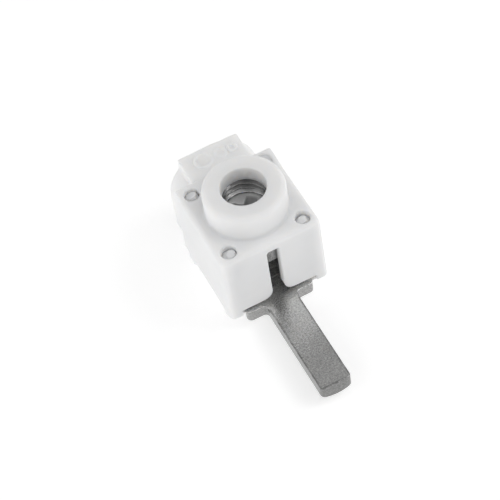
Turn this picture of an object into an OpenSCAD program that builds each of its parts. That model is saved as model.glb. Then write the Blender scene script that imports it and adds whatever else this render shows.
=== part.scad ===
// Insulated feed-in terminal for comb busbars: a clamp for one round wire, in a two-part
// moulded housing, with a flat contact pin.
// The screw axis is the Z axis and the housing stands on Z = 0.
// The wire enters along +Y and the pin points along -Y. All sizes are in millimetres.

/* [Housing] */
// Width of the housing, one modular device pitch at most
body_w = 16; // [15.5:0.1:17.5]
// Length of the housing's square top
body_l = 16; // [15.5:0.1:17]
// Height of the flat top above the base
plate_z = 18; // [17.8:0.1:18.5]
// Height of the plane where the two shells meet
part_z = 4.4; // [4.2:0.1:4.6]
// Radius of the housing's upright edges
edge_r = 0.9; // [0.5:0.1:1.2]
// Radius of the tray's lower long edges
tray_r = 4.2; // [3.6:0.1:4.2]
// Radius of the lower long edges at the front and rear wall
foot_r = 2; // [1.5:0.1:2.6]

/* [Collar] */
// Outer radius of the collar round the screw
collar_r = 6.2; // [6:0.1:6.6]
// Height of the collar above the flat top
collar_h = 4.6; // [4:0.1:5.5]
// Radius of the screwdriver opening
access_r = 3.4; // [3:0.1:3.5]

/* [Front] */
// Width of the upright viewing slot
slot_w = 2; // [1.6:0.1:2.6]
// Distance from the flat top down to the slot
slot_drop = 1.6; // [1.2:0.05:2]
// Half width of the notch that the pin leaves through
notch_half = 6.2; // [6:0.1:6.4]
// Height of the notch above the parting plane
notch_h = 1.2; // [0.8:0.1:1.5]

/* [Wire funnel] */
// How far the funnel stands out behind the housing
funnel_l = 5.4; // [4.5:0.1:6]
// Radius of the funnel's arched outside
arch_r = 7.25; // [7:0.05:7.4]
// Radius of the round wire throat
throat_r = 3.6; // [3.4:0.05:3.8]
// Width of the flat tab over the funnel
tab_w = 10; // [8:0.1:11]

/* [Clamp] */
// Outer width of the metal frame
frame_w = 9.4; // [9.4:0.1:9.6]
// Length of the metal frame
frame_l = 13; // [12:0.1:13]
// Thickness of the frame's side walls
frame_wall = 1.2; // [1:0.1:1.3]
// Height of the frame's lower window edge
window_low = 2.2; // [2:0.1:2.4]
// Height of the frame's upper window edge
window_high = 11.7; // [11.5:0.1:12]
// Nominal radius of the clamp screw
screw_r = 4; // [3.9:0.05:4]
// Reach of the screw's cross recess
recess_r = 2.85; // [2.4:0.05:3]
// Width of a wing of the cross recess
wing_w = 1.76; // [1.2:0.02:1.8]

/* [Pin] */
// Width of the contact pin
pin_w = 5; // [4:0.1:6]
// Thickness of the contact pin
pin_t = 2.2; // [2:0.1:2.2]
// Reach of the pin in front of the housing
pin_reach = 17.4; // [12:0.1:20]
// Half width across the pin's shoulders
shoulder_half = 5.6; // [5:0.1:5.8]

/* [Hidden] */
$fn = 96;

eps = 0.02;                              // overlap of joined or cut shapes
gap = 0.1;                               // assembly gap between neighbours
run = 0.05;                              // running clearance between screw, pad and frame
past = 1;                                // how far a cutting shape reaches past a face
far = 40;                                // longer than the whole part

front_y = -body_l / 2;
rear_y = body_l / 2;
funnel_y = rear_y + funnel_l;
collar_z = plate_z + collar_h;
deck = 1.1;                              // thickness of the flat top
side_wall = 1.3;                         // thickness of the housing's side walls
floor_t = 1;                             // thickness of the tray's floor
foot_l = 3.6;                            // length of the square-cornered front of the tray
rear_foot_l = 1.8;                       // length of the square-cornered rear of the tray

wire_z = (part_z + window_high) / 2;     // height of the wire's axis
arch_z = plate_z - arch_r - 0.05;        // height of the arch's centre
funnel_wall = 1.25;
funnel_low = 1.6;                        // underside of the funnel
funnel_corner_r = 2.6;
funnel_fn = 32;                          // sides of the blended funnel surface
throat_end = rear_y + 0.8;               // where the round throat starts to flare
mouth_l = 0.8;                           // straight part at the funnel's mouth
tab_z = plate_z - 0.3;                   // flat top of the tab
tab_low = arch_z + 3;                    // underside of the tab, buried in the arch

peg_r = 1.1;
peg_x = body_w / 2 - 2;
peg_y = body_l / 2 - 1.9;
peg_top = plate_z - 0.7;
peg_root = part_z - 0.5;
peg_wall = 0.5;                          // plastic left between a peg hole and the inner space

frame_top = plate_z - deck - gap;
boss_top = plate_z + 1.6;                // top of the frame's threaded boss
boss_r = frame_w / 2 - gap;
stake_r = 1.2;                           // stake under the pin, held in the frame's floor
stake_y = 1;

shoulder_out = 0.3;                      // how far the shoulders show in front of the housing
pin_corner_r = 0.7;
pin_fillet_r = 0.9;                      // between the shoulders and the blade

screw_top = plate_z - 1.2;
pad_low = part_z + 4.2;                  // underside of the pad, with the screw part way down
pad_t = 1.2;
pad_r = screw_r - 0.7;
stem_r = 1.2;                            // rivet stem that carries the pad
stem_h = 1.4;
socket_h = 1.6;                          // depth of the screw's socket for the stem
screw_low = pad_low + pad_t + run;
chamfer_h = 0.4;
chamfer_w = 0.75;
recess_h = 2.4;                          // depth of the cross recess
recess_taper = 0.45;                     // how much the wings' ends close in, per depth
recess_angle = 46;                       // direction of the recess at rest

// Flat outline with four rounded corners, centred on the origin
module rounded_square(w, l, r) {
    square([w - 2 * r, l], center = true);
    square([w, l - 2 * r], center = true);
    for (x = [-1, 1], y = [-1, 1])
        translate([x * (w / 2 - r), y * (l / 2 - r)]) circle(r = r);
}

// Extrudes an X-Z outline from y0 to y1
module along_y(y0, y1) {
    translate([0, y1, 0]) rotate([90, 0, 0]) linear_extrude(height = y1 - y0) children();
}

// Box between two corners
module box(low, high) {
    translate(low) cube(high - low);
}

// Arch of the funnel: round top, straight sides, rounded lower corners
module arch_outline(inset) {
    r = arch_r - inset;
    low = funnel_low + inset;
    corner = funnel_corner_r - inset;
    translate([0, arch_z]) circle(r = r);
    translate([-r, low + corner]) square([2 * r, arch_z - low - corner]);
    translate([-r + corner, low]) square([2 * (r - corner), corner + eps]);
    for (x = [-1, 1])
        translate([x * (r - corner), low + corner]) circle(r = corner);
}

// Tray section: flat sides, with the lower corners rounded by r
module tray_outline(r) {
    translate([-body_w / 2, r]) square([body_w, part_z - r]);
    translate([-body_w / 2 + r, 0]) square([body_w - 2 * r, r + eps]);
    for (x = [-1, 1])
        translate([x * (body_w / 2 - r), r]) circle(r = r);
}

// Space that the wire enters by: round throat, then a flare to the arched mouth
module wire_passage() {
    translate([0, throat_end + eps, wire_z]) rotate([90, 0, 0])
        cylinder(r = throat_r, h = throat_end + 2 * eps - frame_l / 2);
    hull() {
        translate([0, throat_end, wire_z]) rotate([90, 0, 0])
            cylinder(r = throat_r, h = eps, $fn = funnel_fn);
        along_y(funnel_y - mouth_l, funnel_y - mouth_l + eps) arch_outline(funnel_wall, $fn = funnel_fn);
    }
    along_y(funnel_y - mouth_l, funnel_y + eps) arch_outline(funnel_wall, $fn = funnel_fn);
}

// Room for the clamp frame, with its lower front corner bevelled like the tray
module frame_space(grow) {
    half_w = frame_w / 2 + grow;
    half_l = frame_l / 2 + grow;
    low = floor_t + gap - grow;
    top = frame_top + grow;
    translate([half_w, 0, 0]) rotate([90, 0, -90]) linear_extrude(height = 2 * half_w)
        polygon([[half_l, part_z + gap - grow], [half_l, top], [-half_l, top], [-half_l, low],
                 [half_l - part_z - gap + grow + low, low]]);
}

// Four pegs or peg holes in the corners
module peg_set(r, low, high) {
    for (x = [-1, 1], y = [-1, 1])
        translate([x * peg_x, y * peg_y, low]) cylinder(r = r, h = high - low);
}

module upper_housing() {
    coring_x = body_w / 2 - side_wall;
    coring_y = peg_y - peg_r - peg_wall;
    color("whitesmoke") difference() {
        union() {
            translate([0, 0, part_z]) linear_extrude(height = plate_z - part_z)
                rounded_square(body_w, body_l, edge_r);
            translate([0, 0, plate_z - eps]) cylinder(r = collar_r, h = collar_h + eps);
            intersection() {
                along_y(rear_y - past, funnel_y) arch_outline(0);
                box([-far, 0, part_z], [far, far, plate_z]);
            }
            box([-tab_w / 2, rear_y - past, tab_low], [tab_w / 2, funnel_y, tab_z]);
        }
        cylinder(r = access_r, h = collar_z + past);
        cylinder(r = boss_r + gap, h = boss_top + gap);
        frame_space(gap);
        box([-coring_x, -coring_y, 0], [coring_x, coring_y, frame_top + gap]);
        box([-slot_w / 2, front_y - past, 0], [slot_w / 2, 0, plate_z - slot_drop]);
        box([-notch_half, front_y - past, 0], [notch_half, -frame_l / 2, part_z + notch_h]);
        peg_set(peg_r + run, 0, collar_z);
        wire_passage();
    }
}

module lower_housing() {
    inner = frame_w / 2 - frame_wall;
    color("white") {
        difference() {
            union() {
                intersection() {
                    along_y(front_y, rear_y) tray_outline(tray_r);
                    linear_extrude(height = part_z) rounded_square(body_w, body_l, edge_r);
                }
                intersection() {
                    union() {
                        along_y(front_y, front_y + foot_l) tray_outline(foot_r);
                        along_y(rear_y - rear_foot_l, rear_y) tray_outline(foot_r);
                    }
                    linear_extrude(height = part_z) rounded_square(body_w, body_l, edge_r);
                }
                intersection() {
                    along_y(rear_y - past, funnel_y) arch_outline(0);
                    box([-far, 0, 0], [far, far, part_z]);
                }
            }
            frame_space(gap);
            translate([0, front_y, part_z]) rotate([-45, 0, 0])
                box([-far, -far, -far], [far, far, 0]);
            box([-shoulder_half - gap, front_y - past, window_low - gap],
                [shoulder_half + gap, -frame_l / 2, part_z + past]);
            box([-inner, -frame_l / 2 - past, window_low - gap], [inner, 0, part_z + past]);
            wire_passage();
        }
        peg_set(peg_r, peg_root, peg_top);
    }
}

module clamp_frame() {
    inner = frame_w / 2 - frame_wall;
    color("silver") difference() {
        union() {
            frame_space(0);
            translate([0, 0, frame_top - eps]) cylinder(r = boss_r, h = boss_top - frame_top + eps);
        }
        box([-inner, -far, window_low], [inner, far, window_high]);
        translate([0, 0, part_z]) cylinder(r = screw_r, h = collar_z - part_z);
        translate([0, stake_y, 0]) cylinder(r = stake_r + run, h = window_low + past);
    }
}

// Outline of the pin from its tip to the end inside the frame
module pin_outline() {
    inner = frame_w / 2 - frame_wall - gap;
    shoulder_back = -frame_l / 2 - gap;
    shoulder_front = front_y - shoulder_out;
    shoulder_mid = (shoulder_front + shoulder_back) / 2;
    tip_y = front_y - pin_reach;
    inner_end = frame_l / 2 - gap;
    translate([-inner, shoulder_back - eps]) square([2 * inner, inner_end - shoulder_back + eps]);
    translate([0, shoulder_mid])
        rounded_square(2 * shoulder_half, shoulder_back - shoulder_front, pin_corner_r);
    translate([0, (tip_y + shoulder_mid) / 2])
        rounded_square(pin_w, shoulder_mid - tip_y, pin_corner_r);
    for (x = [-1, 1])
        difference() {
            translate([x * (pin_w + pin_fillet_r - eps) / 2, shoulder_front - (pin_fillet_r - eps) / 2])
                square(pin_fillet_r + eps, center = true);
            translate([x * (pin_w / 2 + pin_fillet_r), shoulder_front - pin_fillet_r])
                circle(r = pin_fillet_r);
        }
}

module contact_pin() {
    color("darkgray") {
        translate([0, 0, window_low]) linear_extrude(height = pin_t) pin_outline();
        translate([0, stake_y, floor_t + 2 * gap]) cylinder(r = stake_r, h = window_low - floor_t);
    }
}

// Cross recess: two crossed slots whose ends close in along a cone
module cross_recess() {
    intersection() {
        for (turn = [0, 90])
            rotate([0, 0, recess_angle + turn])
                box([-recess_r, -wing_w / 2, screw_top - recess_h], [recess_r, wing_w / 2, screw_top + past]);
        translate([0, 0, screw_top - recess_h])
            cylinder(r1 = recess_r - recess_h * recess_taper, r2 = recess_r + past * recess_taper,
                     h = recess_h + past);
    }
}

module clamp_screw() {
    shank_r = screw_r - run;
    color("gainsboro") difference() {
        union() {
            translate([0, 0, screw_low]) cylinder(r = shank_r, h = screw_top - screw_low - chamfer_h);
            translate([0, 0, screw_top - chamfer_h - eps])
                cylinder(r1 = shank_r, r2 = shank_r - chamfer_w, h = chamfer_h + eps);
        }
        translate([0, 0, screw_low - past]) cylinder(r = stem_r + run, h = socket_h + past);
        cross_recess();
    }
}

module thrust_pad() {
    color("lightgray") {
        translate([0, 0, pad_low]) cylinder(r = pad_r, h = pad_t);
        translate([0, 0, pad_low + pad_t - eps]) cylinder(r = stem_r, h = stem_h + eps);
    }
}

upper_housing();
lower_housing();
clamp_frame();
contact_pin();
clamp_screw();
thrust_pad();
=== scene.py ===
"""Looks of the busbar feed-in terminal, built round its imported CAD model.

Each piece is a moulded or pressed solid with soft edges. It is written as a signed distance in
millimetres (negative inside), sampled on a grid and turned into a mesh whose vertices lie on the
surface. Sizes come from the CAD nodes' boxes and from a few named values.
"""

import math

import bmesh
import bpy
import numpy as np
from mathutils import Matrix, Vector


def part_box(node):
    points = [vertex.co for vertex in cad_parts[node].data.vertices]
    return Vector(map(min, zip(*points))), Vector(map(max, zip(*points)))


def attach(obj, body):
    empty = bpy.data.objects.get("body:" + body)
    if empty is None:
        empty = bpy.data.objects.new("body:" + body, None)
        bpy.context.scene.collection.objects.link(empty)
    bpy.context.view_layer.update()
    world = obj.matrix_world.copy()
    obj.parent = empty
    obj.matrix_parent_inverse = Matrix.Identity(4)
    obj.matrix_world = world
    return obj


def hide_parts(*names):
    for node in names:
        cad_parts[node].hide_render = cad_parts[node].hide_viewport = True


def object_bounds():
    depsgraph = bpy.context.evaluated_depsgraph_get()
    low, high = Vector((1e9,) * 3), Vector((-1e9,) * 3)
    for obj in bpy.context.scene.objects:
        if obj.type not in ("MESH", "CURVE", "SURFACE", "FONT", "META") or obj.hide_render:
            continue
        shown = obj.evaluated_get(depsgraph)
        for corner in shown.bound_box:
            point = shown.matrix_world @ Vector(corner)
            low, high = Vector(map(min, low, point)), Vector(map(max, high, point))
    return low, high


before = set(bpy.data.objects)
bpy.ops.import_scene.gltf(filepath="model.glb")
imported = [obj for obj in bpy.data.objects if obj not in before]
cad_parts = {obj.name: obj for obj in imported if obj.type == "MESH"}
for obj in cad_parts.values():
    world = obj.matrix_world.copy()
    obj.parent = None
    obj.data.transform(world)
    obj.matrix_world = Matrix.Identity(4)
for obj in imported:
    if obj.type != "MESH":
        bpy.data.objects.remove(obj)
cad_low, cad_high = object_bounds()

MM = 0.001                       # metres in a millimetre


def box_mm(node):
    """Lowest and highest corner of a CAD node, in millimetres."""
    low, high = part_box(node)
    return np.array(low) / MM, np.array(high) / MM


# ---------------------------------------------------------------- sizes, in millimetres
# Read from the frame
UP_LOW, UP_HIGH = box_mm("upper_housing")
FR_LOW, FR_HIGH = box_mm("clamp_frame")
PIN_LOW, PIN_HIGH = box_mm("contact_pin")
SCREW_LOW, SCREW_HIGH = box_mm("clamp_screw")
PAD_LOW, PAD_HIGH = box_mm("thrust_pad")

# Both shells
HALF_W = UP_HIGH[0]              # half width of the housing
FRONT = UP_LOW[1]                # front face
REAR = -FRONT                    # rear face of the square body
PART_Z = UP_LOW[2]               # plane where the shells meet
GAP = 0.1                        # assembly gap round the metal parts
RUN = 0.05                       # running clearance round the stake and the pad's stem
EDGE_R = 0.8                     # rounding of the body's outer edges
REAR_EDGE_R = 0.25               # the same at its rear corners
BLEND_LENGTH = 3.0               # of the change from one to the other, which ends 1 mm before the rear
MOUTH_EDGE = 0.45                # rounding of the funnel's rim
SHARP = 0.05                     # edge of a cutting shape

# Upper shell
COLLAR_Z = UP_HIGH[2]            # top of the collar
COLLAR_H = 4.6
PLATE_Z = COLLAR_Z - COLLAR_H    # flat top
COLLAR_R = 6.2
COLLAR_EDGE = 0.95
ACCESS_R = 3.4                   # screwdriver hole
DRAFT = 0.2                      # how much the upper shell widens down to the parting plane, per side
CORE_X, CORE_Y = 6.7, 4.5        # half sizes of the moulded hollow inside
SLOT_HALF, SLOT_TOP = 1.0, PLATE_Z - 1.75
NOTCH_HALF, NOTCH_TOP = 6.2, PART_Z + 1.2
SLOT_FLARE = 1.8                 # fillet between viewing slot and notch
TAB_HALF = 5.0
TAB_Z = PLATE_Z - 0.3
RINGS = ((3.2, 0.62), (1.2, 0.86), (-1.7, 1.3))  # wire-size sign: centre along X and radius
RING_Y = REAR + 3.1
RING_STROKE = 0.2                # half width of a ring's line
RING_H = 0.3

# Lower shell
TRAY_R = 4.2                     # lower corners between the end walls
WALL_R = 2.0                     # lower corners of the end walls
FRONT_WALL, REAR_WALL = 3.6, 1.8
POCKET_HALF = 5.7                # room for the pin's shoulders
PEG_X, PEG_Y = HALF_W - 2, REAR - 1.9
PEG_HOLE_R = 1.15
PEG_R = PEG_HOLE_R - 0.04
PEG_NECK, PEG_TAPER = 0.65, 0.4  # depth where the end begins to taper, and the taper's length
PEG_SLOPE = 0.85                 # the taper shortens radial distances by about this
PEG_ENDS = {                     # corner: drop below the plate, end radius, shift and lean in x and y
    (-1, -1): (0.42, 0.70, 0.24, -0.14, 0.10, 0.15),
    (-1, 1): (0.34, 0.80, -0.10, 0.16, 0.30, -0.35),
    (1, -1): (0.42, 0.66, -0.14, -0.08, 0.35, 0.10),
    (1, 1): (0.03, 1.15, 0.0, 0.0, 0.0, 0.0),
}

# Wire funnel
FUNNEL_END = UP_HIGH[1]          # its rear face
ARCH_R = 7.25
ARCH_Z = PLATE_Z - ARCH_R - 0.05
FUNNEL_LOW = 1.6
FUNNEL_CORNER = 2.6
FUNNEL_WALL = 1.25
MOUTH_DEPTH = 0.8                # straight part at the funnel's mouth
THROAT_R = 3.6
THROAT_END = REAR + 0.8

# Clamp frame
FRAME_TOP = PLATE_Z - 1.2        # flat top of the clamp frame
FRAME_WALL = 1.2
FRAME_EDGE = 0.35
BOSS_TOP = FR_HIGH[2]
BOSS_R = FR_HIGH[0] - 0.1
WINDOW_LOW, WINDOW_HIGH = 2.2, 11.7
WIRE_Z = (PART_Z + WINDOW_HIGH) / 2

# Clamp screw and its thread
PITCH = 1.0
SCREW_R = SCREW_HIGH[0]
MINOR_R = 3.42
NUT_PLAY, SCREW_PLAY = 0.06, 0.04        # how far each thread stays clear of MINOR_R
NUT_THREAD, SCREW_THREAD = 0.54, 0.5     # depths
NUT_SLOPE, SCREW_SLOPE = 0.68, 0.72      # the flanks shorten radial distances by about this
TOP_CHAMFER, END_CHAMFER = 0.6, 0.45
SOCKET_H = 1.6                   # for the pad's stem
RECESS_R = 2.85                  # reach of the screw's cross recess in the top face
RECESS_HALF_W = 0.88             # half the width of a wing
RECESS_TAPER = 0.45              # how much the wings' ends close in, per depth
WING_TAPER = 0.06                # how much a wing narrows, per depth
RECESS_DEPTH = 2.4
RECESS_ANGLE = 46

# Contact pin
PIN_HALF = 2.5
PIN_T = 2.2
PIN_EDGE = 0.14
SHOULDER_R, SHOULDER_FILLET = 0.8, 0.9
STAKE_Y, STAKE_R = 1.0, 1.2
TIP_R = 0.65                     # corners of the sheared tip
TIP_BULGE = 0.42                 # how far the sheared tip bulges at its lower edge
GROOVE_PITCH, GROOVE_DEPTH = 1.6, 0.05

# Thrust pad
PAD_T = 1.2
PAD_CROWN = 22.0                 # radius of its crowned underside
STEM_R = 1.2

FINE = 1.0


# ---------------------------------------------------------------- distances
def smax(a, b, k):
    """The larger distance: an intersection whose convex edge is rounded over about k."""
    h = np.clip(k - np.abs(a - b), 0, None)
    return np.maximum(a, b) + h * h / (4 * k)


def smin(a, b, k):
    """The smaller distance: a union whose inner corner is filled over about k."""
    return -smax(-a, -b, k)


def cut(body, tool, k=0.12):
    """body without tool, with the cut's edges rounded over about k."""
    return smax(body, -tool, k)


def rounded_rect(u, v, low, high, r):
    """Distance to an axis-aligned rectangle with corner radius r."""
    cu, cv = (low[0] + high[0]) / 2, (low[1] + high[1]) / 2
    qu = np.abs(u - cu) - (high[0] - low[0]) / 2 + r
    qv = np.abs(v - cv) - (high[1] - low[1]) / 2 + r
    outside = np.sqrt(np.clip(qu, 0, None) ** 2 + np.clip(qv, 0, None) ** 2)
    return outside + np.minimum(np.maximum(qu, qv), 0) - r


def block(p, low, high, r):
    """Distance to an axis-aligned box with all edges rounded to r."""
    q = [np.abs(c - (a + b) / 2) - (b - a) / 2 + r for c, a, b in zip(p, low, high)]
    outside = np.sqrt(sum(np.clip(c, 0, None) ** 2 for c in q))
    inside = np.minimum(np.maximum(np.maximum(q[0], q[1]), q[2]), 0)
    return outside + inside - r


def slab(outline, w, w0, w1, edge):
    """Extrudes a flat outline's distance from w0 to w1, with the rims rounded to edge."""
    q = outline + edge
    s = np.maximum(w0 - w, w - w1) + edge
    outside = np.sqrt(np.clip(q, 0, None) ** 2 + np.clip(s, 0, None) ** 2)
    return outside + np.minimum(np.maximum(q, s), 0) - edge


def disc(p, r, z0, z1, edge, x=0.0, y=0.0):
    """Distance to an upright cylinder with its rims rounded to edge."""
    radial = np.sqrt((p[0] - x) ** 2 + (p[1] - y) ** 2) - r
    return slab(radial, p[2], z0, z1, edge)


def arch(p, inset):
    """Outline of the funnel in X-Z: round top, straight sides, rounded lower corners."""
    x, z = p[0], p[2]
    r = ARCH_R - inset
    low = FUNNEL_LOW + inset
    corner = FUNNEL_CORNER - inset
    top = np.sqrt(x ** 2 + (z - ARCH_Z) ** 2) - r
    lower = rounded_rect(x, z, (-r, low), (r, ARCH_Z + 2 * r), corner)
    return np.where(z > ARCH_Z, top, np.maximum(lower, np.abs(x) - r))


def tray(p, r):
    """Outline of the lower shell in X-Z, with its lower corners rounded to r."""
    return rounded_rect(p[0], p[2], (-HALF_W, 0), (HALF_W, PLATE_Z), r)


def wire_passage(p):
    """Round throat that flares into the arched mouth."""
    mouth_start = FUNNEL_END - MOUTH_DEPTH
    t = np.clip((p[1] - THROAT_END) / (mouth_start - THROAT_END), 0, 1)
    t = t * t * (3 - 2 * t) * 0.35 + t * 0.65          # a straight flare with slightly eased ends
    ring = np.sqrt(p[0] ** 2 + (p[2] - WIRE_Z) ** 2) - THROAT_R
    section = ring * (1 - t) + arch(p, FUNNEL_WALL) * t
    return slab(section, p[1], FR_HIGH[1] - 0.5, FUNNEL_END + 2, SHARP)


def frame_space(p, grow, r):
    """The clamp frame's outer block, with its lower front corner cut at 45 degrees."""
    low = (FR_LOW[0] - grow, FR_LOW[1] - grow, FR_LOW[2] - grow)
    high = (FR_HIGH[0] + grow, FR_HIGH[1] + grow, FRAME_TOP + grow)
    corner = (PART_Z + GAP + FR_LOW[1] - p[1] - p[2]) / math.sqrt(2) - grow
    return smax(block(p, low, high, r), corner, 0.2)


def edge_radius(y):
    """Rounding of the body's outer edges, which grows tighter towards its rear corners."""
    near = np.clip((y - REAR + 1 + BLEND_LENGTH) / BLEND_LENGTH, 0, 1)
    return EDGE_R + (REAR_EDGE_R - EDGE_R) * near


# ---------------------------------------------------------------- pieces as distances
def upper_shell(p):
    x, y, z = p
    narrow = 1 - DRAFT / HALF_W * (PLATE_Z - z) / (PLATE_Z - PART_Z)
    low, high = (-HALF_W, FRONT, PART_Z - 3), (HALF_W, REAR, PLATE_Z)
    body = block((x * narrow, y * narrow, z), low, high, edge_radius(y))
    funnel = slab(arch(p, 0), y, REAR - 2, FUNNEL_END, MOUTH_EDGE)
    tab = block(p, (-TAB_HALF, REAR - 2, ARCH_Z + 3), (TAB_HALF, FUNNEL_END, TAB_Z), 0.22)
    shell = smin(body, smin(funnel, tab, 0.25), 0.3)
    shell = smin(shell, disc(p, COLLAR_R, PLATE_Z - 3, COLLAR_Z, COLLAR_EDGE), 0.5)
    shell = smin(shell, size_symbol(p), 0.2)
    shell = cut(shell, disc(p, BOSS_R + GAP, 0, BOSS_TOP + GAP, SHARP))
    shell = cut(shell, disc(p, ACCESS_R, 0, COLLAR_Z + 3, SHARP), 0.25)
    shell = cut(shell, frame_space(p, GAP, 0.3))
    shell = cut(shell, block(p, (-CORE_X, -CORE_Y, 0), (CORE_X, CORE_Y, FRAME_TOP), 0.4))
    shell = cut(shell, slot_and_notch(p), 0.18)
    for sx in (-1, 1):
        for sy in (-1, 1):
            hole = disc(p, PEG_HOLE_R, 0, COLLAR_Z, SHARP, sx * PEG_X, sy * PEG_Y)
            shell = cut(shell, hole, 0.3)
    shell = cut(shell, wire_passage(p), 0.5)
    return smax(shell, PART_Z - z, 0.12)


def slot_and_notch(p):
    """The upright viewing slot, which flares into the notch over the pin."""
    x, y, z = p
    slot = rounded_rect(x, z, (-SLOT_HALF, 0), (SLOT_HALF, SLOT_TOP), 0.45)
    notch = rounded_rect(x, z, (-NOTCH_HALF, 0), (NOTCH_HALF, NOTCH_TOP), 0.15)
    outline = smin(slot, notch, SLOT_FLARE)
    return slab(outline, y, FRONT - 2, FR_LOW[1], SHARP)


def size_symbol(p):
    """Generic wire-size sign on the tab: three raised rings that grow in size."""
    x, y, z = p
    rings = [np.abs(np.sqrt((x - ring_x) ** 2 + (y - RING_Y) ** 2) - r) for ring_x, r in RINGS]
    sign = np.minimum.reduce(rings) - RING_STROKE
    return slab(sign, z, TAB_Z - 0.5, TAB_Z + RING_H, 0.1)


def lower_shell(p):
    x, y, z = p
    plan = rounded_rect(x, y, (-HALF_W, FRONT), (HALF_W, REAR), edge_radius(y))
    middle = slab(tray(p, TRAY_R), y, FRONT, REAR, 0.3)
    front_wall = slab(tray(p, WALL_R), y, FRONT, FRONT + FRONT_WALL, 0.3)
    rear_wall = slab(tray(p, WALL_R), y, REAR - REAR_WALL, REAR, 0.3)
    shell = smin(middle, np.minimum(front_wall, rear_wall), 0.4)
    shell = smax(shell, plan, 0.3)
    shell = smin(shell, slab(arch(p, 0), y, REAR - 2, FUNNEL_END, MOUTH_EDGE), 0.3)
    shell = smax(shell, z - PART_Z, 0.12)
    bevel = (FRONT + PART_Z - y - z) / math.sqrt(2)
    shell = smax(smax(shell, bevel, 0.5), -z, 0.1)
    shell = cut(shell, frame_space(p, GAP, 0.3))
    low, high = (-POCKET_HALF, FRONT - 3, WINDOW_LOW - GAP), (POCKET_HALF, FR_LOW[1], PART_Z + 3)
    shell = cut(shell, block(p, low, high, 0.15), 0.2)
    shell = cut(shell, wire_passage(p), 0.5)
    for (sx, sy), end in PEG_ENDS.items():
        shell = np.minimum(shell, peg(p, sx * PEG_X, sy * PEG_Y, *end))
    return shell


def peg(p, peg_x, peg_y, drop, end_r, shift_x, shift_y, lean_x, lean_y):
    """Location peg with a slightly tapered end, which sits a little askew in its hole."""
    x, y, z = p
    top = PLATE_Z - drop
    up = np.clip((z - top + PEG_NECK) / PEG_TAPER, 0, 1)
    off_x, off_y = x - peg_x - shift_x * up, y - peg_y - shift_y * up
    radius = PEG_R + (end_r - PEG_R) * up
    side = (np.sqrt(off_x ** 2 + off_y ** 2) - radius) * PEG_SLOPE
    return smax(smax(side, z - top - lean_x * off_x - lean_y * off_y, 0.12), PART_Z - 1 - z, 0.1)


def thread(p, minor, depth):
    """Radius of a right-hand 60 degree thread at each point, with flattened crests and roots."""
    turn = np.arctan2(p[1], p[0]) / (2 * math.pi)
    phase = (p[2] / PITCH - turn) % 1.0
    flank = np.abs(2 * phase - 1)
    return minor + depth * np.clip(1.25 * flank - 0.125, 0, 1)


def clamp_loop(p):
    """Steel loop with a thick top, a boss and the internal thread."""
    x, y, z = p
    loop = frame_space(p, 0, FRAME_EDGE)
    loop = smin(loop, disc(p, BOSS_R, FRAME_TOP - 2, BOSS_TOP, 0.25), 0.5)
    half = FR_HIGH[0] - FRAME_WALL
    window = rounded_rect(x, z, (-half, WINDOW_LOW), (half, WINDOW_HIGH), 0.3)
    loop = cut(loop, slab(window, y, 2 * FRONT, 2 * REAR, SHARP), 0.25)
    radial = np.sqrt(x * x + y * y)
    bore = (radial - thread(p, MINOR_R + NUT_PLAY, NUT_THREAD)) * NUT_SLOPE
    bore = np.maximum(bore, PART_Z - z)
    loop = cut(loop, bore, 0.08)
    stake_hole = disc(p, STAKE_R + RUN, 0, WINDOW_LOW + 0.5, SHARP, 0, STAKE_Y)
    return cut(loop, stake_hole, 0.1)


def pin_blade(p):
    """Stamped blade with two shoulders; the inner end carries the cross serration."""
    x, y, z = p
    low, high = WINDOW_LOW, PIN_HIGH[2]
    inner = FR_HIGH[0] - FRAME_WALL - GAP
    shoulder_back = FR_LOW[1] - GAP
    shoulder_front = FRONT - 0.3
    tail = rounded_rect(x, y, (-inner, shoulder_back - 1), (inner, PIN_HIGH[1]), 0.5)
    low_corner, high_corner = (PIN_LOW[0], shoulder_front), (PIN_HIGH[0], shoulder_back)
    shoulders = rounded_rect(x, y, low_corner, high_corner, SHOULDER_R)
    blade = rounded_rect(x, y, (-PIN_HALF, PIN_LOW[1]), (PIN_HALF, shoulder_back), 0.55)
    outline = smin(np.minimum(tail, shoulders), blade, SHOULDER_FILLET)
    bulge = TIP_BULGE * (1 - (x / PIN_HALF) ** 2) * np.clip((high - z) / (high - low), 0, 1)
    tip = smax(np.abs(x) - PIN_HALF, PIN_LOW[1] - bulge - y, TIP_R)
    outline = np.where(y < FRONT - 4, tip, outline)
    bar = slab(outline, z, low, high, PIN_EDGE)
    groove = GROOVE_DEPTH - np.abs((y - FR_LOW[1]) % GROOVE_PITCH - GROOVE_PITCH / 2) * 0.5
    groove = np.where((y > FR_LOW[1] + 0.3) & (y < 0), groove, -1)
    bar = smax(bar, z - high + np.clip(groove, 0, None), 0.03)
    stake = disc(p, STAKE_R, PIN_LOW[2], low + 0.3, 0.15, 0, STAKE_Y)
    return np.minimum(bar, stake)


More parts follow.
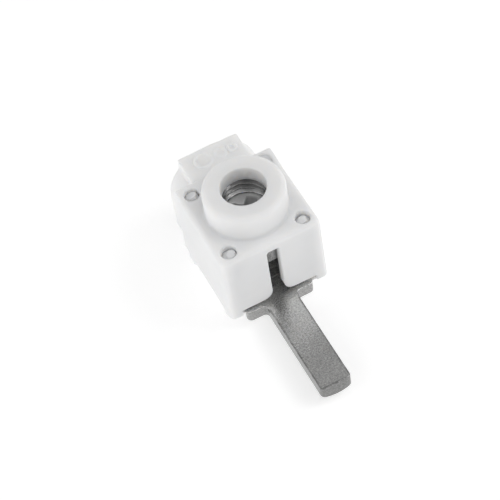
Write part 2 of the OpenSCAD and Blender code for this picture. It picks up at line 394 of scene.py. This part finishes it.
def screw_body(p):
    """Headless screw: thread that runs out into chamfered ends, cross recess, socket for the stem."""
    x, y, z = p
    radial = np.sqrt(x * x + y * y)
    low, high = SCREW_LOW[2], SCREW_HIGH[2]
    shank = (radial - thread(p, MINOR_R - SCREW_PLAY, SCREW_THREAD)) * SCREW_SLOPE
    crown = slab(radial - MINOR_R, z, high - TOP_CHAMFER, high, 0.1)
    body = smin(shank, crown, 0.06)
    body = smax(body, (radial + z - high - SCREW_R + TOP_CHAMFER) / math.sqrt(2), 0.1)
    body = smax(body, (radial - z + low - SCREW_R + END_CHAMFER) / math.sqrt(2), 0.15)
    body = smax(smax(body, z - high, 0.2), low - z, 0.1)
    cone = (radial - RECESS_R + (high - z) * RECESS_TAPER) / math.sqrt(1 + RECESS_TAPER ** 2)
    a = math.radians(RECESS_ANGLE)
    along = np.abs(x * math.cos(a) + y * math.sin(a))
    across = np.abs(-x * math.sin(a) + y * math.cos(a))
    wings = smin(along, across, 0.3) - RECESS_HALF_W + (high - z) * WING_TAPER
    recess = smax(smax(wings, cone, 0.25), high - RECESS_DEPTH - z, 0.3)
    body = cut(body, recess, 0.1)
    return cut(body, disc(p, STEM_R + RUN, low - 2, low + SOCKET_H, 0.1), 0.1)


def pad_disc(p):
    """Pressure pad: a crowned disc on its rivet stem."""
    x, y, z = p
    disc_top = PAD_LOW[2] + PAD_T
    radial = np.sqrt(x * x + y * y)
    plate = slab(radial - PAD_HIGH[0], z, PAD_LOW[2], disc_top, 0.25)
    ball = np.sqrt(radial ** 2 + (z - PAD_LOW[2] - PAD_CROWN) ** 2) - PAD_CROWN
    plate = smax(plate, ball, 0.2)
    stem = disc(p, STEM_R, disc_top - 0.5, PAD_HIGH[2], 0.2)
    return smin(plate, stem, 0.2)


# ---------------------------------------------------------------- distance to mesh
MARGIN = 0.65                    # of the sampled grid beyond a CAD node's box, in millimetres
CHUNK = 24                       # grid slices sampled at a time, to save memory
TILE = 1.2                       # side of the tiles that flat faces are joined in, in millimetres
FLAT_ANGLE = 0.35                # degrees between faces that are joined
CORNERS = np.array([(i, j, k) for i in (0, 1) for j in (0, 1) for k in (0, 1)])
EDGES = [(a, b) for a in range(8) for b in range(a + 1, 8)
         if np.abs(CORNERS[a] - CORNERS[b]).sum() == 1]


def sample(distance, low, high, step):
    """Distances on a grid that covers the box with a margin, and the grid's first point."""
    first = np.array(low) - MARGIN
    counts = np.ceil((np.array(high) + MARGIN - first) / step).astype(int) + 1
    axes = [first[i] + step * np.arange(counts[i]) for i in range(3)]
    values = np.empty(counts, np.float32)
    for start in range(0, counts[0], CHUNK):
        part = np.meshgrid(axes[0][start:start + CHUNK], axes[1], axes[2], indexing="ij")
        values[start:start + CHUNK] = distance(part)
    return values, first


def net(values, first, step):
    """Surface net: one vertex in each cell that the surface crosses, quads between them."""
    inside = values < 0
    total = sum(inside[i:i - 1 or None, j:j - 1 or None, k:k - 1 or None].astype(np.int8)
                for i, j, k in CORNERS)
    active = (total > 0) & (total < 8)
    cells = np.argwhere(active)
    corner = [values[tuple((cells + c).T)] for c in CORNERS]
    point = np.zeros((len(cells), 3))
    hits = np.zeros(len(cells))
    for a, b in EDGES:
        crossed = (corner[a] < 0) != (corner[b] < 0)
        t = np.where(crossed, corner[a] / np.where(crossed, corner[a] - corner[b], 1), 0)
        point += np.where(crossed[:, None], CORNERS[a] + t[:, None] * (CORNERS[b] - CORNERS[a]), 0)
        hits += crossed
    verts = first + step * (cells + point / hits[:, None])
    normal = np.zeros((len(cells), 3))
    for axis in range(3):
        for n, c in enumerate(CORNERS):
            normal[:, axis] += corner[n] * (1 if c[axis] else -1)
    normal /= np.linalg.norm(normal, axis=1)[:, None] + 1e-12
    index = np.full(active.shape, -1, np.int64)
    index[tuple(cells.T)] = np.arange(len(cells))
    quads = []
    for axis in range(3):
        u, v = (axis + 1) % 3, (axis + 2) % 3
        lower = [slice(None)] * 3
        upper = [slice(None)] * 3
        lower[axis], upper[axis] = slice(0, -1), slice(1, None)
        a, b = inside[tuple(lower)], inside[tuple(upper)]
        crossing = np.argwhere(a != b)
        crossing = crossing[(crossing[:, u] > 0) & (crossing[:, v] > 0)]
        du, dv = np.eye(3, dtype=int)[u], np.eye(3, dtype=int)[v]
        around = ((1, 1), (0, 1), (0, 0), (1, 0))
        ring = np.stack([index[tuple((crossing - m * du - n * dv).T)] for m, n in around], axis=1)
        leaving = a[tuple(crossing.T)]
        quads.append(np.where(leaving[:, None], ring, ring[:, ::-1]))
    return verts, np.concatenate(quads), normal


def set_normals(mesh):
    """Shades the mesh with the surface's own normals, kept in an attribute."""
    stored = np.zeros(len(mesh.vertices) * 3, np.float32)
    mesh.attributes["surface_normal"].data.foreach_get("vector", stored)
    mesh.normals_split_custom_set_from_vertices(stored.reshape(-1, 3).tolist())
    mesh.attributes.remove(mesh.attributes["surface_normal"])


def merge_flats(mesh, places):
    """Joins flat neighbours into larger faces, but only within a tile, which keeps it quick."""
    tile = np.floor(places / TILE).astype(int) % 3
    mesh.polygons.foreach_set("material_index", (tile @ np.array([1, 3, 9])).astype(np.int32))
    work = bmesh.new()
    work.from_mesh(mesh)
    bmesh.ops.dissolve_limit(work, angle_limit=math.radians(FLAT_ANGLE), verts=work.verts[:],
                             edges=work.edges[:], use_dissolve_boundaries=False, delimit={"MATERIAL"})
    work.to_mesh(mesh)
    work.free()
    count = len(mesh.polygons)
    mesh.polygons.foreach_set("material_index", np.zeros(count, np.int32))
    mesh.polygons.foreach_set("use_smooth", np.ones(count, bool))


def solid(name, distance, node, step, body, material):
    """Meshes a distance over its CAD node's box, in metres, and hangs it on the frame."""
    low, high = box_mm(node)
    step *= FINE
    verts, quads, normal = net(*sample(distance, low, high, step), step)
    mesh = bpy.data.meshes.new(name)
    mesh.vertices.add(len(verts))
    mesh.vertices.foreach_set("co", (verts * MM).astype(np.float32).ravel())
    mesh.loops.add(quads.size)
    mesh.loops.foreach_set("vertex_index", quads.astype(np.int32).ravel())
    mesh.polygons.add(len(quads))
    mesh.polygons.foreach_set("loop_start", np.arange(0, quads.size, 4, dtype=np.int32))
    mesh.update(calc_edges=True)
    store = mesh.attributes.new("surface_normal", "FLOAT_VECTOR", "POINT")
    store.data.foreach_set("vector", normal.astype(np.float32).ravel())
    merge_flats(mesh, verts[quads[:, 0]])
    set_normals(mesh)
    piece = bpy.data.objects.new(name, mesh)
    bpy.context.scene.collection.objects.link(piece)
    piece.data.materials.append(material)
    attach(piece, body)
    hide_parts(node)
    print(name, len(verts), "net vertices,", len(mesh.polygons), "faces")


# ---------------------------------------------------------------- materials
def new_material(name):
    """A node material, with what its patterns need: tree, shader and texture coordinates."""
    material = bpy.data.materials.new(name)
    material.use_nodes = True
    tree = material.node_tree
    coords = tree.nodes.new("ShaderNodeTexCoord")
    return material, tree, tree.nodes["Principled BSDF"], coords


def grey(level):
    return level, level, level


def math_node(tree, operation, *inputs):
    """A Math node whose inputs are numbers or other nodes' outputs."""
    node = tree.nodes.new("ShaderNodeMath")
    node.operation = operation
    for socket, value in zip(node.inputs, inputs):
        if isinstance(value, float):
            socket.default_value = value
        else:
            tree.links.new(value, socket)
    return node.outputs["Value"]


def remap(tree, value, from_low, from_high, to_low, to_high, curve="LINEAR"):
    """Maps one range onto another and holds its ends."""
    node = tree.nodes.new("ShaderNodeMapRange")
    node.interpolation_type = curve
    node.inputs["From Min"].default_value = from_low
    node.inputs["From Max"].default_value = from_high
    node.inputs["To Min"].default_value = to_low
    node.inputs["To Max"].default_value = to_high
    tree.links.new(value, node.inputs["Value"])
    return node.outputs["Result"]


def noise(tree, coords, size_mm, detail):
    """Noise whose features are about size_mm across, in the object's own space."""
    mapping = tree.nodes.new("ShaderNodeMapping")
    mapping.inputs["Scale"].default_value = [1 / (size_mm * MM)] * 3
    texture = tree.nodes.new("ShaderNodeTexNoise")
    texture.inputs["Scale"].default_value = 1.0
    texture.inputs["Detail"].default_value = detail
    tree.links.new(coords.outputs["Object"], mapping.inputs["Vector"])
    tree.links.new(mapping.outputs["Vector"], texture.inputs["Vector"])
    return texture.outputs["Fac"]


def patches(tree, coords, size_mm, detail, low, high):
    """Noise whose middle range is mapped onto low to high."""
    return remap(tree, noise(tree, coords, size_mm, detail), 0.3, 0.7, low, high)


def distance_mask(tree, coords, near, far, axes=("X", "Y"), centre_mm=0.0):
    """0 at near and 1 at far, in millimetres from the Z axis or from a plane across one axis."""
    split = tree.nodes.new("ShaderNodeSeparateXYZ")
    tree.links.new(coords.outputs["Object"], split.inputs["Vector"])
    if len(axes) == 1:
        offset = math_node(tree, "SUBTRACT", split.outputs[axes[0]], centre_mm * MM)
        value = math_node(tree, "ABSOLUTE", offset)
    else:
        squares = [math_node(tree, "POWER", split.outputs[axis], 2.0) for axis in axes]
        value = math_node(tree, "SQRT", math_node(tree, "ADD", *squares))
    return remap(tree, value, near * MM, far * MM, 0, 1)


def both(tree, a, b):
    """1 only where both masks are."""
    return math_node(tree, "MULTIPLY", a, b)


def blend_colour(tree, value, dark, light):
    node = tree.nodes.new("ShaderNodeMix")
    node.data_type = "RGBA"
    node.inputs["A"].default_value = (*dark, 1)
    node.inputs["B"].default_value = (*light, 1)
    tree.links.new(value, node.inputs["Factor"])
    return node.outputs["Result"]


def tint(tree, colour, mask, amount):
    """Multiplies colour by amount where mask is 1."""
    node = tree.nodes.new("ShaderNodeMix")
    node.data_type = "RGBA"
    node.blend_type = "MULTIPLY"
    node.inputs["B"].default_value = (*grey(amount), 1)
    tree.links.new(mask, node.inputs["Factor"])
    tree.links.new(colour, node.inputs["A"])
    return node.outputs["Result"]


def bump(tree, shader, value, depth_mm, strength=1.0):
    node = tree.nodes.new("ShaderNodeBump")
    node.inputs["Distance"].default_value = depth_mm * MM
    node.inputs["Strength"].default_value = strength
    tree.links.new(value, node.inputs["Height"])
    tree.links.new(node.outputs["Normal"], shader.inputs["Normal"])


def moulded_plastic(name):
    """Milky moulded plastic: faint clouding, satin skin, a little light through it."""
    material, tree, shader, coords = new_material(name)
    cloud = patches(tree, coords, 5.0, 3.0, 0, 1)
    tree.links.new(blend_colour(tree, cloud, grey(0.83), grey(0.86)), shader.inputs["Base Color"])
    tree.links.new(patches(tree, coords, 1.2, 3.0, 0.52, 0.62), shader.inputs["Roughness"])
    bump(tree, shader, noise(tree, coords, 0.35, 4.0), depth_mm=0.006, strength=0.5)
    shader.inputs["Subsurface Weight"].default_value = 1.0
    shader.inputs["Subsurface Radius"].default_value = (1.0, 0.96, 0.9)
    shader.inputs["Subsurface Scale"].default_value = 1.8 * MM
    shader.inputs["IOR"].default_value = 1.42
    return material


def metal(name, dark, light, rough, grain_mm, depth_mm, metallic=1.0):
    """Plated metal: fine speckle, satin patches and a shallow grain. Returns what tints need."""
    material, tree, shader, coords = new_material(name)
    shader.inputs["Metallic"].default_value = metallic
    colour = blend_colour(tree, patches(tree, coords, grain_mm, 2.0, 0, 1), dark, light)
    tree.links.new(patches(tree, coords, 2.5, 4.0, *rough), shader.inputs["Roughness"])
    bump(tree, shader, noise(tree, coords, grain_mm * 1.3, 3.0), depth_mm)
    return material, tree, shader, coords, colour


def tinned_copper():
    """Matte tin with painted light and shade: painted shade darkens the side faces and the blade's
    upper edges, and painted light brightens the pin near the housing and its shoulders.
    """
    material, tree, shader, coords, colour = metal(
        "tinned_copper", dark=(0.37, 0.37, 0.365), light=(0.69, 0.69, 0.68), rough=(0.20, 0.27),
        grain_mm=0.26, depth_mm=0.02, metallic=0.8)
    half_t = PIN_T / 2
    middle = {"axes": ("Z",), "centre_mm": (PIN_HIGH[2] + WINDOW_LOW) / 2}
    # painted shade: darkens the blade's side faces and its tip face
    painted_shade_sides = distance_mask(tree, coords, half_t - 0.04, half_t - 0.10, **middle)
    upper = distance_mask(tree, coords, half_t - 0.1, half_t - 0.04, **middle)
    # painted shade: these masks darken the blade's upper edges along its long sides and its tip, in
    # front of the housing
    long_edges = distance_mask(tree, coords, PIN_HALF - 0.32, PIN_HALF - 0.2, axes=("X",))
    tip_edge = distance_mask(tree, coords, -PIN_LOW[1] - 0.32, -PIN_LOW[1] - 0.2, axes=("Y",))
    blade = distance_mask(tree, coords, -FRONT + 1.0, -FRONT + 1.6, axes=("Y",))
    edges = both(tree, math_node(tree, "MAXIMUM", long_edges, tip_edge), blade)
    edges = both(tree, both(tree, edges, upper), patches(tree, coords, 0.8, 3.0, 0.3, 1))
    # painted light: brightens the pin near the housing and on its shoulders, a painted reflection of
    # the white plastic
    root = distance_mask(tree, coords, -FRONT + 5.5, -FRONT + 1.5, axes=("Y",))
    shoulders = distance_mask(tree, coords, PIN_HALF + 0.2, PIN_HALF + 0.6, axes=("X",))
    # painted light at the root and shoulders, painted shade on the side faces and upper edges
    for mask, amount in ((root, 1.2), (shoulders, 1.25), (painted_shade_sides, 0.46), (edges, 0.3)):
        colour = tint(tree, colour, mask, amount)
    tree.links.new(colour, shader.inputs["Base Color"])
    return material


def threaded_zinc():
    """Zinc plate with painted shade in the thread's roots and a painted highlight on the thread where
    the screw's top meets it.
    """
    material, tree, shader, coords, colour = metal(
        "zinc_plated_steel", dark=grey(0.28), light=grey(0.42), rough=(0.18, 0.28),
        grain_mm=0.3, depth_mm=0.008)
    root = distance_mask(tree, coords, MINOR_R + 0.06, MINOR_R + 0.2)
    inside = distance_mask(tree, coords, SCREW_R + 0.3, SCREW_R + 0.1)
    level = distance_mask(tree, coords, 0.34, 0.24, axes=("Z",), centre_mm=SCREW_HIGH[2] + 0.1)
    # painted shade: darkens the thread's roots
    colour = tint(tree, colour, both(tree, root, inside), 0.3)
    # painted highlight: brightens the thread in a band at the height of the screw's top
    colour = tint(tree, colour, both(tree, level, inside), 2.4)
    tree.links.new(colour, shader.inputs["Base Color"])
    return material


def phosphated_steel():
    """Screw and pad: dull light grey, half way between metal and paint, with painted shade in the
    recess.
    """
    material, tree, shader, coords, colour = metal(
        "screw_steel", dark=grey(0.84), light=grey(0.92), rough=(0.45, 0.6),
        grain_mm=0.3, depth_mm=0.008, metallic=0.2)
    # painted shade: darkens everything of this material inside the recess's radius from 0.5 mm below
    # the screw's top downwards
    painted_shade_depth = distance_mask(tree, coords, 0.2, 0.5, axes=("Z",), centre_mm=SCREW_HIGH[2])
    middle = distance_mask(tree, coords, RECESS_R + 0.2, RECESS_R + 0.05)
    tree.links.new(tint(tree, colour, both(tree, painted_shade_depth, middle), 0.7), shader.inputs["Base Color"])
    return material


# ---------------------------------------------------------------- the object
white = moulded_plastic("milky_plastic")
white_low = moulded_plastic("milky_plastic_tray")
tin = tinned_copper()
zinc = threaded_zinc()
dull_steel = phosphated_steel()

solid("upper_shell", upper_shell, "upper_housing", 0.11, "root", white)
solid("lower_shell", lower_shell, "lower_housing", 0.11, "root", white_low)
solid("clamp_loop", clamp_loop, "clamp_frame", 0.09, "root", zinc)
solid("pin_blade", pin_blade, "contact_pin", 0.08, "root", tin)
solid("screw_body", screw_body, "clamp_screw", 0.07, "screw", dull_steel)
solid("pad_disc", pad_disc, "thrust_pad", 0.09, "pad", dull_steel)


# ---------------------------------------------------------------- floor, light and camera
def make_floor():
    bpy.ops.mesh.primitive_plane_add(size=3.0, location=(0, 0, cad_low.z))
    floor = bpy.context.object
    floor.name = "floor"
    material, _, shader, _ = new_material("pale_floor")
    shader.inputs["Base Color"].default_value = (*grey(0.95), 1)
    shader.inputs["Roughness"].default_value = 0.9
    shader.inputs["Emission Color"].default_value = (1, 1, 1, 1)
    shader.inputs["Emission Strength"].default_value = 0.3       # a light table
    floor.data.materials.append(material)


def direction(azimuth, elevation):
    """Unit vector to an azimuth, counted from the front (-Y) towards +X, and an elevation."""
    a, e = math.radians(azimuth), math.radians(elevation)
    return Vector((math.sin(a) * math.cos(e), -math.cos(a) * math.cos(e), math.sin(e)))


def area_light(name, azimuth, elevation, distance, size, power):
    """Soft square light that faces the housing."""
    light = bpy.data.lights.new(name, "AREA")
    light.shape = "SQUARE"
    light.size = size
    light.energy = power
    lamp = bpy.data.objects.new(name, light)
    bpy.context.scene.collection.objects.link(lamp)
    away = direction(azimuth, elevation)
    lamp.location = Vector((0, 0, 0.01)) + away * distance
    lamp.rotation_euler = (-away).to_track_quat("-Z", "Y").to_euler()


def make_world(middle, left, right):
    """Light tent: walls that grow brighter to the left and right of a dimmer middle."""
    world = bpy.data.worlds.new("studio")
    bpy.context.scene.world = world
    world.use_nodes = True
    tree = world.node_tree
    coords = tree.nodes.new("ShaderNodeTexCoord")
    split = tree.nodes.new("ShaderNodeSeparateXYZ")
    tree.links.new(coords.outputs["Generated"], split.inputs["Vector"])
    level = split.outputs["X"]
    walls = [remap(tree, level, 0.1 * end, end, 0, gain, "SMOOTHSTEP")
             for end, gain in ((-1, left), (1, right))]
    strength = math_node(tree, "ADD", math_node(tree, "ADD", *walls), middle)
    background = tree.nodes["Background"]
    background.inputs["Color"].default_value = (1, 1, 1, 1)
    tree.links.new(strength, background.inputs["Strength"])


def make_camera(target, azimuth, elevation, roll, distance, lens):
    """Camera at an azimuth and elevation round the target, turned by roll about its own axis."""
    data = bpy.data.cameras.new("camera")
    data.lens = lens
    data.clip_start, data.clip_end = 0.01, 10
    camera = bpy.data.objects.new("camera", data)
    bpy.context.scene.collection.objects.link(camera)
    back = direction(azimuth, elevation)
    camera.rotation_mode = "QUATERNION"
    aim = (-back).to_track_quat("-Z", "Y")
    camera.rotation_quaternion = aim @ Matrix.Rotation(math.radians(roll), 4, "Z").to_quaternion()
    camera.location = Vector(target) + back * distance
    bpy.context.scene.camera = camera


make_floor()
make_world(middle=0.3, left=0.95, right=0.7)
area_light("soft_top", azimuth=0, elevation=89, distance=0.6, size=0.4, power=0.2)
area_light("soft_front", azimuth=20, elevation=62, distance=0.6, size=0.4, power=0.34)
area_light("soft_right", azimuth=60, elevation=51, distance=0.6, size=0.2, power=0.38)
make_camera(target=(-0.00106, -0.00113, 0.009), azimuth=-18.82, elevation=53.69, roll=-10.18,
            distance=0.25604, lens=123.6)
bpy.context.scene.view_settings.view_transform = "Standard"
